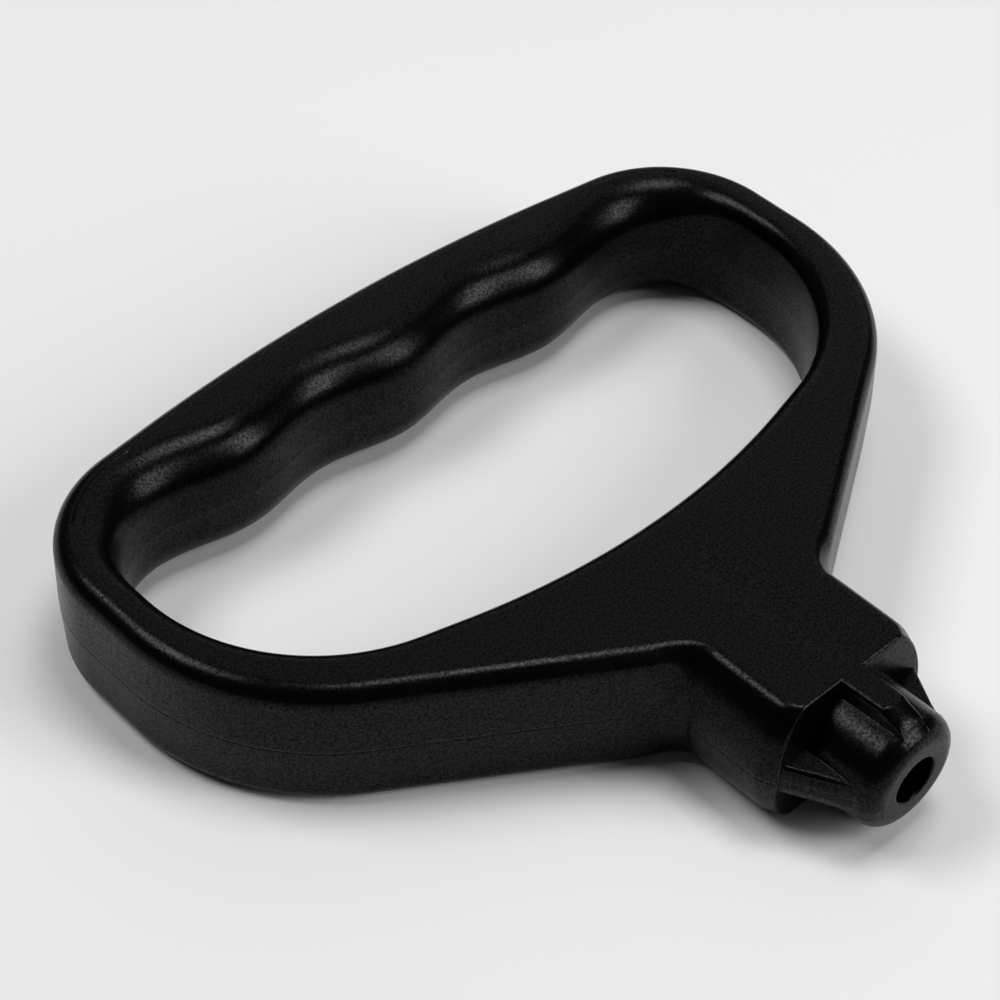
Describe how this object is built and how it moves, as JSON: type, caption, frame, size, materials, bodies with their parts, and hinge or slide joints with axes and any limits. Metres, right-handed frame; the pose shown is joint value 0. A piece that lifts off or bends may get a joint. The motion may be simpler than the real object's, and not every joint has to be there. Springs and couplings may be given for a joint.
{
  "type": "pull-start handle",
  "caption": "D-shaped moulded pull-start handle: flat hand loop with finger grooves, round neck and ribbed nose with a rope bore.",
  "frame": {"origin": "centre of the bounding box in X and Y, on the lower flat face", "axes": "+X across the loop, +Y towards the palm bar, -Y along the rope bore out of the nose, +Z out of the upper flat face"},
  "size_m": [0.111, 0.0966, 0.0183],
  "materials": {
    "black_plastic": "fine satin grain"
  },
  "bodies": {
    "root": {"starter_handle": "black_plastic"}
  },
  "joints": []
}
